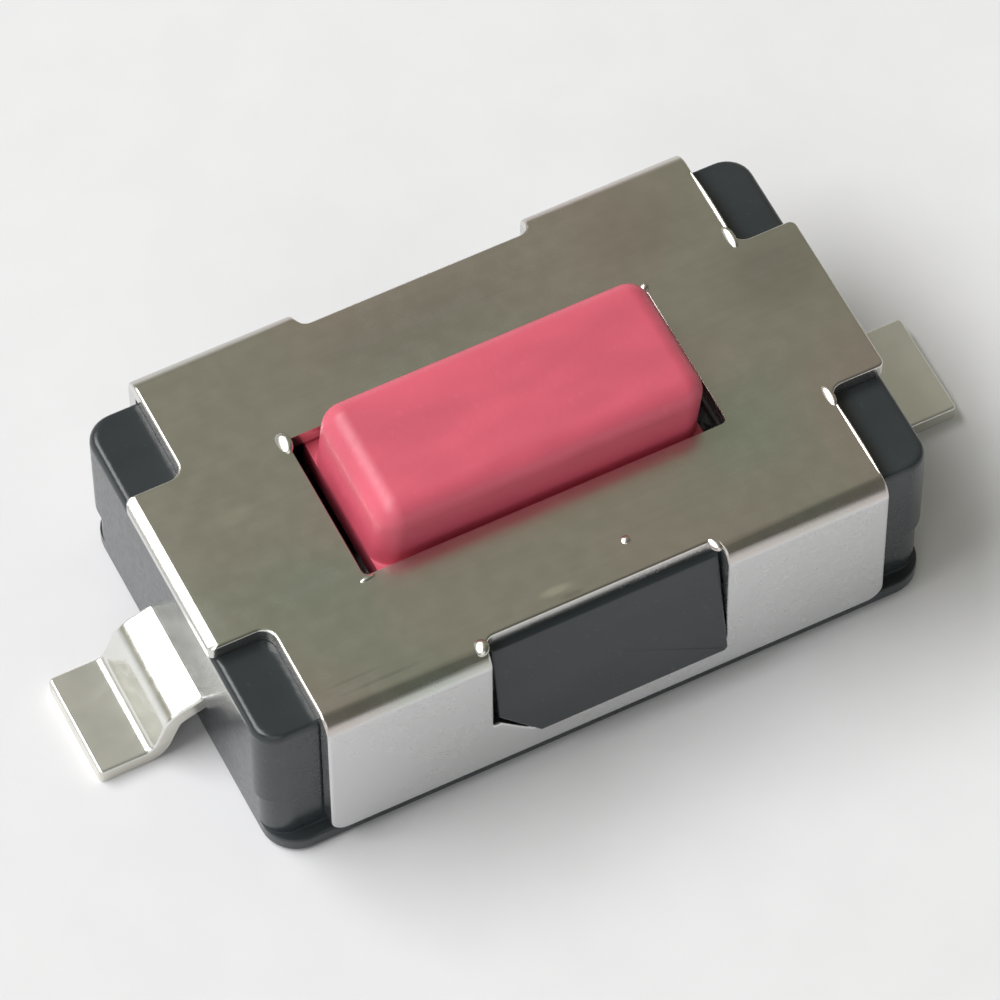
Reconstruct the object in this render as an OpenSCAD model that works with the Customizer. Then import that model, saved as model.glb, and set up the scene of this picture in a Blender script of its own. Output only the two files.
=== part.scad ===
// Surface mount tactile switch with an oblong button, in millimetres.
// The origin is at the middle of the body on the circuit board's surface.
// X runs along the body towards the centre contact's lead, Z points away from the board.

/* [Cover] */
// Length of the cover over its two end tongues
cover_length = 6; // [5.6:0.1:6.8]
// Width of the cover over its folded side walls
cover_width = 3.7; // [3.5:0.1:4.4]
// Height of the cover's top face above the board
cover_top = 1.8; // [1.75:0.05:2.2]
// Thickness of the cover's sheet metal
sheet = 0.15; // [0.1:0.01:0.2]
// Inside radius of the folds along the cover's long edges
fold_inside_r = 0.02; // [0.01:0.01:0.05]
// Length of each end tongue beyond the corner notches
tongue_length = 0.52; // [0.4:0.02:0.6]
// Width of the end tongues
tongue_width = 1.58; // [1.2:0.02:1.9]
// Radius in the inner corners of the corner notches
notch_r = 0.12; // [0.05:0.01:0.2]
// Radius of the lower corners of the side walls
wall_corner_r = 0.15; // [0.05:0.01:0.3]

/* [Window and slots] */
// Gap in the window at each end of the button's head
window_end_gap = 0.16; // [0.05:0.01:0.25]
// Gap in the window along each side of the button's head
window_side_gap = 0.07; // [0.03:0.01:0.1]
// Radius of the window's corners
window_corner_r = 0.05; // [0.02:0.01:0.1]
// Length of the snap slot in each side wall
slot_length = 2.08; // [1.6:0.04:2.4]
// Distance from a side wall's outer face to the top plate's edge along the slot
slot_inset = 0.2; // [0.18:0.01:0.3]
// Radius of the slot's inner corners
slot_r = 0.1; // [0.05:0.01:0.15]
// Size of the bevel across the lower corner of each slot and of its boss towards -X
key_bevel = 0.34; // [0.2:0.02:0.4]
// Height of the strip of side wall below the slot
strip_height = 0.3; // [0.2:0.02:0.4]

/* [Housing] */
// Gap between the board and the housing's underside
standoff = 0.02; // [0.01:0.01:0.05]
// Distance that the cover's tongues reach past the housing's end faces
tongue_overhang = 0.02; // [0:0.01:0.05]
// Radius of the housing's four upright corners
housing_corner_r = 0.22; // [0.1:0.02:0.4]
// Height of the mould parting step on the end faces above the board
step_height = 0.65; // [0.64:0.01:0.9]
// Depth of the mould parting step on the end faces
step_depth = 0.04; // [0.01:0.01:0.08]
// Height of the base flange's top face above the board
flange_top = 0.16; // [0.1:0.01:0.22]
// Distance from the side walls' outer faces in to the base flange's edge
flange_inset = 0.05; // [0.01:0.01:0.1]
// Radius of the base flange's corners
flange_corner_r = 0.3; // [0.1:0.02:0.5]
// Distance that a snap boss stands out past the side wall at its lower edge
boss_proud = 0.07; // [0:0.01:0.1]
// Distance that a snap boss stands out past the housing's side at its upper edge
boss_lead_in = 0.02; // [0:0.01:0.05]
// Gap between a snap boss and each end of its slot
boss_end_gap = 0.05; // [0.02:0.01:0.1]
// Size of the small bevel at a snap boss's lower corner towards +X
boss_bevel = 0.03; // [0.02:0.01:0.1]
// Clearance between the cover and the housing it is fitted over
fit_gap = 0.02; // [0.01:0.01:0.04]
// Depth of the shallow recess in the housing's underside
recess_depth = 0.06; // [0.02:0.01:0.1]
// Width of the rim round the recess in the underside
recess_rim = 0.5; // [0.35:0.05:0.8]
// Diameter of the mould pin holes that open on the terminals' undersides
pin_hole_d = 0.4; // [0.2:0.05:0.5]

/* [Button] */
// Length of the button's head
head_length = 2.9; // [2.4:0.05:3.0]
// Width of the button's head
head_width = 1.28; // [1.0:0.02:1.4]
// Height of the button's top face above the cover at rest
head_height = 0.5; // [0.45:0.05:3]
// Radius of the head's upright corners and of its upper edges
head_r = 0.2; // [0.1:0.01:0.3]
// Distance that the button's hidden flange reaches past the window's two long edges
flange_reach = 0.2; // [0.12:0.02:0.24]
// Thickness of the button's hidden flange
flange_t = 0.3; // [0.2:0.02:0.34]
// Play between the button's flange and the cover's underside at rest
button_play = 0.02; // [0.01:0.01:0.03]
// Clearance between the button's flange and the housing's well
flange_gap = 0.06; // [0.03:0.01:0.08]
// Diameter of the round nub that presses the dome
nub_d = 0.9; // [0.5:0.05:1.2]
// Travel of the button from rest to the click
travel = 0.25; // [0.15:0.01:0.3]
// Gap left under the flange when the button is fully pressed
overtravel = 0.04; // [0.03:0.01:0.08]

/* [Snap dome] */
// Diameter of the dome before its two sides are trimmed
dome_d = 3; // [2.6:0.1:3.2]
// Width of the dome across its trimmed sides
dome_width = 1.7; // [1.4:0.05:1.8]
// Thickness of the dome's spring sheet
dome_t = 0.06; // [0.04:0.01:0.08]
// Gap between the dome and the walls of the well
dome_gap = 0.06; // [0.03:0.01:0.1]
// Gap between the dome and the button's nub at rest
nub_gap = 0.01; // [0.01:0.01:0.02]

/* [Terminals] */
// Distance from the housing's end face to the end of the solder foot
lead_reach = 0.92; // [0.86:0.02:1.4]
// Width of the leads
lead_width = 1; // [0.8:0.05:1.2]
// Thickness of the terminals' metal
lead_t = 0.15; // [0.1:0.01:0.18]
// Height of a lead's top face above the board where it leaves the housing
lead_exit = 0.62; // [0.58:0.01:0.63]
// Length of the solder foot, measured to the bend's corner point
foot_length = 0.52; // [0.4:0.02:0.56]
// Distance from the housing's end face to the lead's upper bend
shoulder = 0.24; // [0.18:0.02:0.28]
// Height that the lead loses between the housing's end face and its upper bend
shoulder_drop = 0.1; // [0.04:0.01:0.14]
// Inside radius of the leads' bends
bend_inside_r = 0.1; // [0.04:0.01:0.12]
// Drop of the buried strip that passes under the well's floor
centre_drop = 0.22; // [0.18:0.01:0.24]
// Width of the buried strip of the centre contact
centre_width = 0.6; // [0.5:0.05:0.7]
// Diameter of the raised contact under the dome's middle
contact_d = 0.6; // [0.4:0.05:0.7]
// Height of the raised contact above the well's floor
contact_rise = 0.06; // [0.03:0.01:0.08]
// Width of each arm of the fork under the dome's rim
fork_arm = 0.3; // [0.2:0.02:0.34]

/* [Hidden] */
$fn = 48;

// Cut past a surface so that no thin skin is left
over = 0.1;
window_length = head_length + 2 * window_end_gap;
window_width = head_width + 2 * window_side_gap;
plate_length = cover_length - 2 * tongue_length;
cover_underside = cover_top - sheet;
wall_bottom = flange_top + fit_gap;
slot_bottom = wall_bottom + strip_height;
housing_length = cover_length - 2 * tongue_overhang;
housing_width = cover_width - 2 * sheet - 2 * fit_gap;
base_length = housing_length - 2 * step_depth;
base_width = cover_width - 2 * flange_inset;
boss_bottom = slot_bottom + fit_gap;
boss_length = slot_length - 2 * boss_end_gap;
boss_low_y = cover_width / 2 + boss_proud;
boss_high_y = housing_width / 2 + boss_lead_in;

well_floor = lead_exit;
contact_top = well_floor + contact_rise;
dome_rise = contact_rise + travel;
dome_rim_r = dome_d / 2 - dome_t;
dome_inside_r = (dome_rim_r * dome_rim_r + dome_rise * dome_rise) / (2 * dome_rise);
dome_centre_z = well_floor + dome_rise - dome_inside_r;
dome_top = well_floor + dome_rise + dome_t;

button_top = cover_top + head_height;
flange_high = cover_underside - button_play;
flange_low = flange_high - flange_t;
flange_length = head_length;
flange_width = window_width + 2 * flange_reach;
flange_corner = head_r;
nub_low = dome_top + nub_gap;
well_shelf = flange_low - travel - overtravel;
dome_well_length = dome_d + 2 * dome_gap;
dome_well_width = dome_width + 2 * dome_gap;
// The dome is put in from above, so the upper well is never the shorter one
well_length = max(flange_length + 2 * flange_gap, dome_well_length);
well_width = flange_width + 2 * flange_gap;

bend_r = bend_inside_r + lead_t / 2;
lead_z = lead_exit - lead_t / 2;
foot_end = housing_length / 2 + lead_reach;
bend_x = foot_end - foot_length;
shoulder_x = housing_length / 2 + shoulder;
shoulder_z = lead_z - shoulder_drop;
// The leads start to slope down just inside the housing's end faces
slope_start = base_length / 2;
fork_length = dome_d;
fork_width = dome_well_width;
fork_root = fork_arm;
// The buried strip steps down inside the housing's end wall, clear of the well
drop_start = (housing_length + well_length) / 4 + lead_t;
drop_low_x = drop_start - centre_drop;
buried_z = lead_z - centre_drop;
side_hole_x = (dome_d + housing_length) / 4;
centre_hole_x = dome_d / 3;

function unit(v) = v / norm(v);
function left_of(v) = [-v.y, v.x];
function turned(v, a) = [v.x * cos(a) - v.y * sin(a), v.x * sin(a) + v.y * cos(a)];
function reversed(list) = [for (i = [len(list) - 1:-1:0]) list[i]];

// Arc round the corner b of the path a, b, c: the centre line has radius r,
// and the points lie the distance off to its left
function corner(a, b, c, r, off, steps = 6) =
    let (u = unit(b - a), w = unit(c - b), side = sign(cross(u, w)), turn = acos(u * w))
    let (centre = b - r * tan(turn / 2) * u + side * r * left_of(u))
    [for (i = [0:steps]) centre - (side * r - off) * turned(left_of(u), side * turn * i / steps)];

// One edge of a strip bent along a path of corner points
function strip_edge(path, r, off) =
    let (last = len(path) - 1)
    concat(
        [path[0] + off * left_of(unit(path[1] - path[0]))],
        [for (i = [1:last - 1]) each corner(path[i - 1], path[i], path[i + 1], r, off)],
        [path[last] + off * left_of(unit(path[last] - path[last - 1]))]
    );

// Metal strip of thickness t and width w, bent along a path in the XZ plane
module bent_strip(path, r, t, w) {
    rotate([90, 0, 0])
        linear_extrude(w, center = true)
            polygon(concat(strip_edge(path, r, t / 2), reversed(strip_edge(path, r, -t / 2))));
}

// Rectangle with round corners about the origin
module rounded_rect(l, w, r) {
    square([l - 2 * r, w], center = true);
    square([l, w - 2 * r], center = true);
    for (x = [-1, 1], y = [-1, 1])
        translate([x * (l / 2 - r), y * (w / 2 - r)])
            circle(r);
}

// Upright block with round corners between two heights
module block(l, w, r, low, high) {
    translate([0, 0, low])
        linear_extrude(high - low)
            rounded_rect(l, w, r);
}

// What a radius r takes off a square corner whose tip is at the origin
module corner_waste(r) {
    difference() {
        square(r);
        translate([r, r])
            circle(r);
    }
}

// Arch profile: square at the foot, round of radius r at both shoulders
module arch(w, low, high, r) {
    translate([-w / 2, low])
        square([w, high - r - low]);
    translate([-w / 2 + r, low])
        square([w - 2 * r, high - low]);
    for (side = [-1, 1])
        translate([side * (w / 2 - r), high - r])
            circle(r);
}

// Top plate and both side walls, folded from one sheet
module folded_plate() {
    rotate([90, 0, 90])
        linear_extrude(plate_length, center = true)
            difference() {
                arch(cover_width, wall_bottom, cover_top, fold_inside_r + sheet);
                arch(cover_width - 2 * sheet, wall_bottom - over, cover_underside, fold_inside_r);
            }
}

// End tongue with the radii in its two notches, towards +X
module tongue() {
    translate([0, 0, cover_underside])
        linear_extrude(sheet) {
            translate([plate_length / 2 - over, -tongue_width / 2])
                square([tongue_length + over, tongue_width]);
            for (side = [-1, 1])
                flip_y(side)
                    translate([plate_length / 2, tongue_width / 2])
                        corner_waste(notch_r);
        }
}

// Mirrors its children across the X axis when side is -1
module flip_y(side) {
    mirror([0, side < 0 ? 1 : 0, 0])
        children();
}

// Snap slot through one side wall and its fold, towards +Y
module slot_cut() {
    depth = slot_inset + over;
    difference() {
        translate([0, cover_width / 2 + over - depth / 2, slot_bottom])
            linear_extrude(cover_top + over - slot_bottom)
                union() {
                    rounded_rect(slot_length, depth, slot_r);
                    translate([-slot_length / 2, 0])
                        square([slot_length, depth / 2]);
                }
        translate([-slot_length / 2, cover_width / 2, slot_bottom])
            bevel_prism(key_bevel);
    }
}

// Prism along Y whose slant cuts the corner at the origin by the size b, towards +X and +Z
module bevel_prism(b) {
    rotate([90, 0, 0])
        linear_extrude(8 * over, center = true)
            polygon([[-over, -over], [b + over, -over], [-over, b + over]]);
}

// Waste at the lower corner of both side walls, towards +X
module wall_corner_cut() {
    translate([plate_length / 2, 0, wall_bottom])
        rotate([90, 0, 0])
            linear_extrude(cover_width + 2 * over, center = true)
                mirror([1, 0])
                    corner_waste(wall_corner_r);
}

module cover() {
    color("darkkhaki")
        difference() {
            union() {
                folded_plate();
                for (side = [0, 1])
                    mirror([side, 0, 0])
                        tongue();
            }
            block(window_length, window_width, window_corner_r, cover_underside - over, cover_top + over);
            for (side = [0, 1]) {
                mirror([0, side, 0])
                    slot_cut();
                mirror([side, 0, 0])
                    wall_corner_cut();
            }
        }
}

// Snap boss on the housing's side, towards +Y: a wedge that is thickest at its lower edge
module boss() {
    difference() {
        rotate([90, 0, 90])
            linear_extrude(boss_length, center = true)
                polygon([
                    [housing_width / 2 - over, boss_bottom],
                    [boss_low_y, boss_bottom],
                    [boss_high_y, cover_underside],
                    [housing_width / 2 - over, cover_underside]
                ]);
        translate([-boss_length / 2, boss_low_y, boss_bottom])
            bevel_prism(key_bevel);
        translate([boss_length / 2, boss_low_y, boss_bottom])
            mirror([1, 0, 0])
                bevel_prism(boss_bevel);
    }
}

// Both wells: the upper one guides the button's flange, the lower one holds the dome
module wells() {
    block(well_length, well_width, flange_corner, well_shelf, cover_underside + over);
    block(dome_well_length, dome_well_width, flange_corner, well_floor, well_shelf + over);
}

// Shallow recess and mould pin holes in the underside
module underside_cuts() {
    block(base_length - 2 * recess_rim, base_width - 2 * recess_rim, flange_corner_r,
        standoff - over, standoff + recess_depth);
    translate([-side_hole_x, 0, standoff - over])
        cylinder(h = lead_z - standoff + over, d = pin_hole_d);
    translate([centre_hole_x, 0, standoff - over])
        cylinder(h = buried_z - standoff + over, d = pin_hole_d);
}

module housing() {
    color("darkslategray")
        difference() {
            union() {
                block(housing_length, housing_width, housing_corner_r, step_height, cover_underside);
                block(base_length, housing_width, housing_corner_r, standoff, step_height + over);
                block(base_length, base_width, flange_corner_r, standoff, flange_top);
                for (side = [0, 1])
                    mirror([0, side, 0])
                        boss();
            }
            wells();
            underside_cuts();
            side_metal();
            centre_metal();
        }
}

// Head of the button: upright corners and upper edges all have the same radius
module head() {
    intersection() {
        block(head_length, head_width, head_r, flange_low, button_top);
        rotate([90, 0, 90])
            linear_extrude(head_length, center = true)
                arch(head_width, flange_low, button_top, head_r);
        rotate([90, 0, 0])
            linear_extrude(head_width, center = true)
                arch(head_length, flange_low, button_top, head_r);
    }
}

module button() {
    color("indianred") {
        head();
        block(flange_length, flange_width, flange_corner, flange_low, flange_high);
        translate([0, 0, nub_low])
            cylinder(h = flange_low - nub_low + flange_t / 2, d = nub_d);
    }
}

// Spherical cap of spring sheet, trimmed on both long sides
module snap_dome() {
    color("silver")
        intersection() {
            translate([-dome_d / 2, -dome_width / 2, well_floor])
                cube([dome_d, dome_width, dome_rise + dome_t + over]);
            translate([0, 0, well_floor])
                cylinder(h = dome_rise + dome_t + over, d = dome_d);
            translate([0, 0, dome_centre_z])
                difference() {
                    sphere(dome_inside_r + dome_t);
                    sphere(dome_inside_r);
                }
        }
}

// Lead towards +X, from the point inner inside the housing to the end of its foot
module lead(inner) {
    bent_strip(concat(inner, [
        [slope_start, lead_z],
        [shoulder_x, shoulder_z],
        [bend_x, lead_t / 2],
        [foot_end, lead_t / 2]
    ]), bend_r, lead_t, lead_width);
}

// Fork that carries the dome's rim, flush with the well's floor and open towards -X
module fork() {
    translate([0, 0, well_floor - lead_t])
        linear_extrude(lead_t)
            difference() {
                square([fork_length, fork_width], center = true);
                translate([-fork_root - over, 0])
                    square([fork_length + 2 * over, fork_width - 2 * fork_arm], center = true);
            }
}

module side_metal() {
    mirror([1, 0, 0]) {
        lead([[fork_length / 2 - fork_root, lead_z]]);
        fork();
    }
}

module centre_metal() {
    lead([
        [drop_low_x - bend_r, buried_z],
        [drop_low_x, buried_z],
        [drop_start, lead_z]
    ]);
    translate([0, -centre_width / 2, buried_z - lead_t / 2])
        cube([drop_low_x, centre_width, lead_t]);
    translate([0, 0, buried_z - lead_t / 2])
        cylinder(h = lead_t, d = centre_width);
    translate([0, 0, buried_z])
        cylinder(h = contact_top - buried_z, d = contact_d);
}

module side_terminal() {
    color("gainsboro")
        side_metal();
}

module centre_terminal() {
    color("gainsboro")
        centre_metal();
}

housing();
cover();
button();
snap_dome();
side_terminal();
centre_terminal();
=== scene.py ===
"""Surface mount tactile switch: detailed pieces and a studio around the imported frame.

Every piece is a closed surface in metres, worked out with numpy in the frame's own
coordinates. X runs along the body, Z points away from the board.
"""

import math

import bmesh
import bpy
import numpy as np
from mathutils import Matrix, Vector, geometry


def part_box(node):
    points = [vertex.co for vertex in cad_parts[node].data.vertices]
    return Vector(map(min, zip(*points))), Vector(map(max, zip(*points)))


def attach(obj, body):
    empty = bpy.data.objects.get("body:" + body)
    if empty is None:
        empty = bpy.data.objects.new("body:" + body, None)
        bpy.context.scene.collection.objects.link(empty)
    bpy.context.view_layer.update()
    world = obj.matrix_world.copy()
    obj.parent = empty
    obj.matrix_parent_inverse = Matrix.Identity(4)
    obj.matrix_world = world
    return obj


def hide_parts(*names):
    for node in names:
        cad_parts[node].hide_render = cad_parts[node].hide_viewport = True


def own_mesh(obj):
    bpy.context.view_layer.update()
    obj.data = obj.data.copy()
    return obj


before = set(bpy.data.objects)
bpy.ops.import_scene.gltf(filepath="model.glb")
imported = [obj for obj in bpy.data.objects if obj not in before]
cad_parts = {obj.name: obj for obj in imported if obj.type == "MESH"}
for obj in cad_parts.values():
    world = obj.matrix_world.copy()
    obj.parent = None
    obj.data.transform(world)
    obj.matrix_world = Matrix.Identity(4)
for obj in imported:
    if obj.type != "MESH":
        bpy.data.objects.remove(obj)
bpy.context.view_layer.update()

bl_info = {
    "name": "Tactile Switch Maker",
    "version": (1, 0, 0),
    "blender": (4, 5, 0),
    "location": "3D View > Sidebar > Switch",
    "description": "Makes the detailed pieces of a surface mount tactile switch, and its studio",
    "category": "Add Mesh",
}

MM = 0.001
COVER_LOW, COVER_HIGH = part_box("cover")
HOUSING_LOW, HOUSING_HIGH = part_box("housing")
BUTTON_LOW, BUTTON_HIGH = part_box("button")
DOME_LOW, DOME_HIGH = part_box("snap_dome")
LEAD_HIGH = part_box("centre_terminal")[1]
# Soft lights: direction from the object, distance and size in metres
WINDOW_LIGHT = ((-0.57, 0.30, 0.82), 0.30, (0.34, 0.14))
FILL_LIGHT = ((-0.50, -0.65, 0.55), 0.35, (0.25, 0.25))
# Mould pin holes in millimetres: place along X, height of the closed end
PIN_HOLES = [(-2.24, 0.50), (1.0, 0.28)]


def length(description, default):
    """A length property, with its default given in millimetres."""
    return bpy.props.FloatProperty(
        description=description, default=default * MM, precision=6, unit="LENGTH")


def angle(description, degrees):
    """An angle property, with its default given in degrees."""
    return bpy.props.FloatProperty(
        description=description, default=math.radians(degrees), unit="ROTATION")


def amount(description, default):
    """A plain number from 0 up."""
    return bpy.props.FloatProperty(
        description=description, default=default, min=0.0, subtype="FACTOR")


def colour(description, default):
    """A linear colour property."""
    return bpy.props.FloatVectorProperty(
        description=description, default=default, size=3, min=0.0, max=1.0,
        subtype="COLOR")


class CoverSettings(bpy.types.PropertyGroup):
    """Sizes and colours of the folded cover."""
    sheet: length("Thickness of the sheet metal", 0.15)
    fold_r: length("Inside radius of the two long folds", 0.02)
    plate_half: length("Half the length between the notches", 2.48)
    tongue_half: length("Half the width of an end tongue", 0.79)
    notch_r: length("Radius in the corner notches", 0.12)
    tongue_r: length("Radius of the tongue's corners", 0.06)
    wall_r: length("Radius of the side walls' lower corners", 0.15)
    window_x: length("Half the window's length", 1.61)
    window_y: length("Half the window's width", 0.71)
    window_r: length("Radius of the window's corners", 0.05)
    slot_x: length("Half the length of a snap slot", 1.04)
    slot_inset: length("From a wall's face to the plate's edge", 0.2)
    slot_low: length("Height of a snap slot's lower edge", 0.48)
    slot_r: length("Radius of a slot's upper corners", 0.1)
    slot_low_r: length("Radius of a slot's lower corners", 0.03)
    key_bevel: length("Bevel across a slot's lower corner towards -X", 0.34)
    relief: length("Width of the small cut beside the key bevel", 0.06)
    roll: length("Width of the rolled upper edge a punch leaves", 0.028)
    roll_drop: length("Height of that rolled edge", 0.020)
    window_roll: length("Width of the window's rolled edge", 0.005)
    chamfer: length("Width of the chamfer across a tongue's end", 0.095)
    chamfer_drop: length("Height of that chamfer", 0.050)
    planeness: amount("1 makes that chamfer plane, 0 makes it round", 0.85)
    burr_r: length("Radius of the lower edge", 0.012)
    # Painted light: the side walls' colour is painted lighter than the top face's, for one and
    # the same plating
    clean: colour("Colour of the side walls' plating", (0.69, 0.69, 0.69))
    metal: colour("Colour of the top face's plating", (0.61, 0.60, 0.555))
    cloud: colour("Colour of the brownish clouds on the plating", (0.64, 0.56, 0.54))
    tarnish: colour("Colour of the greenish clouds on the plating", (0.49, 0.575, 0.50))
    # Painted highlight: a lighter colour laid on the cover's rolled and cut edges
    bright: colour("Colour of the rolled and cut edges", (0.86, 0.85, 0.82))
    rough: amount("Roughness of the plating", 0.24)


class HousingSettings(bpy.types.PropertyGroup):
    """Sizes and colours of the moulded housing."""
    corner_r: length("Radius of the upright corners", 0.22)
    side: length("Half the width under the cover", 1.68)
    step_z: length("Height of the step on the end faces", 0.65)
    step: length("Depth of the parting step", 0.04)
    flange_y: length("Half the width of the base flange", 1.80)
    flange_z: length("Height of the base flange's top", 0.16)
    flange_r: length("Radius of the base flange's corners", 0.30)
    well_r: length("Radius of the wells' corners", 0.2)
    well_x: length("Half the length of the upper well", 1.56)
    well_y: length("Half the width of the upper well", 0.97)
    shelf_z: length("Height of the upper well's floor", 1.04)
    dome_x: length("Half the length of the dome well", 1.56)
    dome_y: length("Half the width of the dome well", 0.91)
    floor_z: length("Height of the dome well's plastic floor", 0.615)
    edge: length("Radius of the outer upper edges", 0.09)
    boss_x: length("From the middle to a boss's end towards -X", 0.99)
    boss_end: length("From the middle to a boss's end towards +X", 1.03)
    boss_low: length("Height of a boss's lower edge", 0.50)
    boss_low_y: length("Distance of a boss's lower edge from the middle", 1.92)
    boss_high_y: length("The same at its upper edge", 1.70)
    boss_bevel: length("Bevel at a boss's lower corner to +X", 0.03)
    key_bevel: length("Bevel across a boss's lower corner to -X", 0.34)
    boss_edge: length("Radius of a boss's soft edges", 0.03)
    rim: length("Width of the rim round the underside's recess", 0.5)
    recess: length("Depth of that recess", 0.06)
    pin_r: length("Radius of the mould pin holes", 0.195)
    resin: colour("Colour of the black moulding resin", (0.031, 0.037, 0.041))
    rough: amount("Roughness of the resin", 0.18)
    fleck: amount("How much lighter the sparse flecks are", 0.2)
    ior: amount("Index of refraction of the resin", 1.46)


class ButtonSettings(bpy.types.PropertyGroup):
    """Sizes and colours of the push button."""
    head_x: length("Half the length of the head", 1.45)
    head_y: length("Half the width of the head", 0.64)
    head_r: length("Radius of the head's corners and upper edges", 0.20)
    crown: length("Rise of the top face towards its middle", 0.012)
    flange_low: length("Height of the flange's underside", 1.33)
    flange_high: length("Height of the flange's top", 1.63)
    nub_r: length("Radius of the nub over the dome", 0.45)
    lean: length("How far the loose button's top leans towards +X", 0.07)
    soft: length("Radius of the flange's edges", 0.03)
    resin: colour("Colour of the red moulding resin", (0.655, 0.102, 0.158))
    rough: amount("Roughness of the resin", 0.39)
    fleck: amount("How much lighter the sparse flecks are", 0.05)
    ior: amount("Index of refraction of the resin", 1.56)


class ContactSettings(bpy.types.PropertyGroup):
    """Sizes and colours of the leads, the contacts and the snap dome."""
    thickness: length("Thickness of the terminals' metal", 0.15)
    bend_r: length("Radius of the bends along the middle of the metal", 0.175)
    lead_half: length("Half the width of a lead", 0.5)
    lead_z: length("Height of a lead's middle where it leaves", 0.545)
    slope_x: length("Place where a lead starts to slope down", 2.94)
    shoulder_x: length("Place of the upper bend", 3.22)
    shoulder_z: length("Height of the upper bend's middle", 0.445)
    foot_x: length("Place of the lower bend", 3.38)
    drop_x: length("Place of the buried bend next to the end wall", 2.42)
    strip_z: length("Height of the buried strip's middle", 0.325)
    strip_half: length("Half the width of the buried strip", 0.3)
    contact_top: length("Height of the raised contact's top", 0.68)
    fork_half: length("Half the width of the fork", 0.91)
    fork_arm: length("Width of each arm of the fork", 0.3)
    roll: length("Width of the rolled upper edges", 0.03)
    roll_share: amount("Height of those edges as a share of their width", 0.85)
    burr_r: length("Radius of the lower edges", 0.012)
    corner_r: length("Radius of the punched corners", 0.04)
    dome_r: length("Inside radius of the dome's curve", 3.5)
    dome_t: length("Thickness of the spring sheet", 0.06)
    plating: colour("Colour of the tin plating", (0.85, 0.85, 0.815))
    core: colour("Colour of the strip's core at its punched edges", (0.62, 0.59, 0.50))
    spring: colour("Colour of the dome", (0.70, 0.70, 0.70))
    rough: amount("Roughness of the plating", 0.19)
    spring_rough: amount("Roughness of the dome", 0.18)


class StudioSettings(bpy.types.PropertyGroup):
    """Camera, floor and light."""
    azimuth: angle("Camera's angle round the object", -26.11)
    elevation: angle("Camera's angle above the floor", 57.50)
    roll: angle("Camera's turn about its own axis", -0.54)
    distance: length("Camera's distance from the object's middle", 60.0)
    shift_right: length("Camera's offset to its right", -0.062)
    shift_up: length("Camera's offset upwards", 0.417)
    lens: bpy.props.FloatProperty(
        description="Focal length in millimetres", default=264.15, subtype="DISTANCE_CAMERA")
    floor: colour("Colour of the pale floor", (0.80, 0.80, 0.83))
    horizon: colour("Colour of the room's lower part", (0.76, 0.76, 0.77))
    horizon_right: colour("Colour of that part towards +X", (0.36, 0.355, 0.28))
    ceiling: colour("Colour of the room's upper part", (0.287, 0.278, 0.216))
    ceiling_front: colour("Colour of that part towards -Y", (0.13, 0.13, 0.105))
    window: amount("Power of the soft window light in watts", 1.05)
    fill: amount("Power of the soft fill light in watts", 0.21)
    room: amount("Strength of the room's own light", 1.0)


# Outlines and profiles


def outline(corners, radii, steps=6):
    """Closed outline with an arc in each corner, and the unit normal to its left.

    With unit directions u and w before and after a corner c, a the signed turn and n the
    left normal, the arc's centre is c - r tan(|a| / 2) u + sign(a) r n(u), and its points
    are centre - sign(a) r n(t), where n(t) turns from n(u) by a t, for t from 0 to 1.
    """
    c = np.asarray(corners, float)
    r = np.broadcast_to(np.asarray(radii, float), len(c))
    u = c - np.roll(c, 1, 0)
    u /= np.linalg.norm(u, axis=1)[:, None]
    w = np.roll(u, -1, 0)
    left = np.stack([-u[:, 1], u[:, 0]], 1)
    turn = np.arctan2(u[:, 0] * w[:, 1] - u[:, 1] * w[:, 0], (u * w).sum(1))
    side = np.sign(turn)
    centre = c - (r * np.tan(abs(turn) / 2))[:, None] * u + (side * r)[:, None] * left
    a = turn[:, None] * np.linspace(0, 1, steps + 1)
    normal = left[:, None] * np.cos(a)[..., None] - u[:, None] * np.sin(a)[..., None]
    points = centre[:, None] - (side * r)[:, None, None] * normal
    return points.reshape(-1, 2), normal.reshape(-1, 2)


def softened(stations, radii, steps=5):
    """Rounds the inner corners of a chain of stations in any number of dimensions.

    Each corner P becomes (1 - t)^2 A + 2 t (1 - t) P + t^2 B, where A and B lie a radius
    before and after P along the chain.
    """
    p = np.asarray(stations, float)
    r = np.asarray(radii, float)[:, None]
    back = p[:-2] - p[1:-1]
    on = p[2:] - p[1:-1]
    a = p[1:-1] + back / np.linalg.norm(back, axis=1)[:, None] * r
    b = p[1:-1] + on / np.linalg.norm(on, axis=1)[:, None] * r
    t = np.linspace(0, 1, steps + 1)[None, :, None]
    curve = (1 - t) ** 2 * a[:, None] + 2 * t * (1 - t) * p[1:-1, None] + t ** 2 * b[:, None]
    return np.concatenate([p[:1], curve.reshape(-1, p.shape[1]), p[-1:]])


def ring_points(stations, steps=8):
    """Rounded rectangles round Z, one for each station (a, b, c, z).

    x = +-(a - c) + c cos t and y = +-(b - c) + c sin t, with t running once round and the
    signs those of the quarter that t is in.
    """
    a, b, c, z = (column[:, None] for column in np.asarray(stations, float).T)
    quarter = np.repeat(np.arange(4), steps + 1)
    t = (quarter + np.tile(np.linspace(0, 1, steps + 1), 4)) * math.pi / 2
    sign_x = np.array([1, -1, -1, 1])[quarter]
    sign_y = np.array([1, 1, -1, -1])[quarter]
    x = sign_x * (a - c) + c * np.cos(t)
    y = sign_y * (b - c) + c * np.sin(t)
    return np.stack([x, y, np.broadcast_to(z, x.shape)], -1)


def grid_faces(rows, columns, start=0):
    """Quads between the rows of closed rings whose points are numbered row by row."""
    index = np.arange(rows * columns).reshape(rows, columns) + start
    turned = np.roll(index, -1, 1)
    return np.stack([index[:-1], turned[:-1], turned[1:], index[1:]], -1).reshape(-1, 4)


def fan(ring, hub):
    """Triangles from the points of a ring to its hub."""
    return np.stack([ring, np.roll(ring, -1), np.full(len(ring), hub)], -1)


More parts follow.
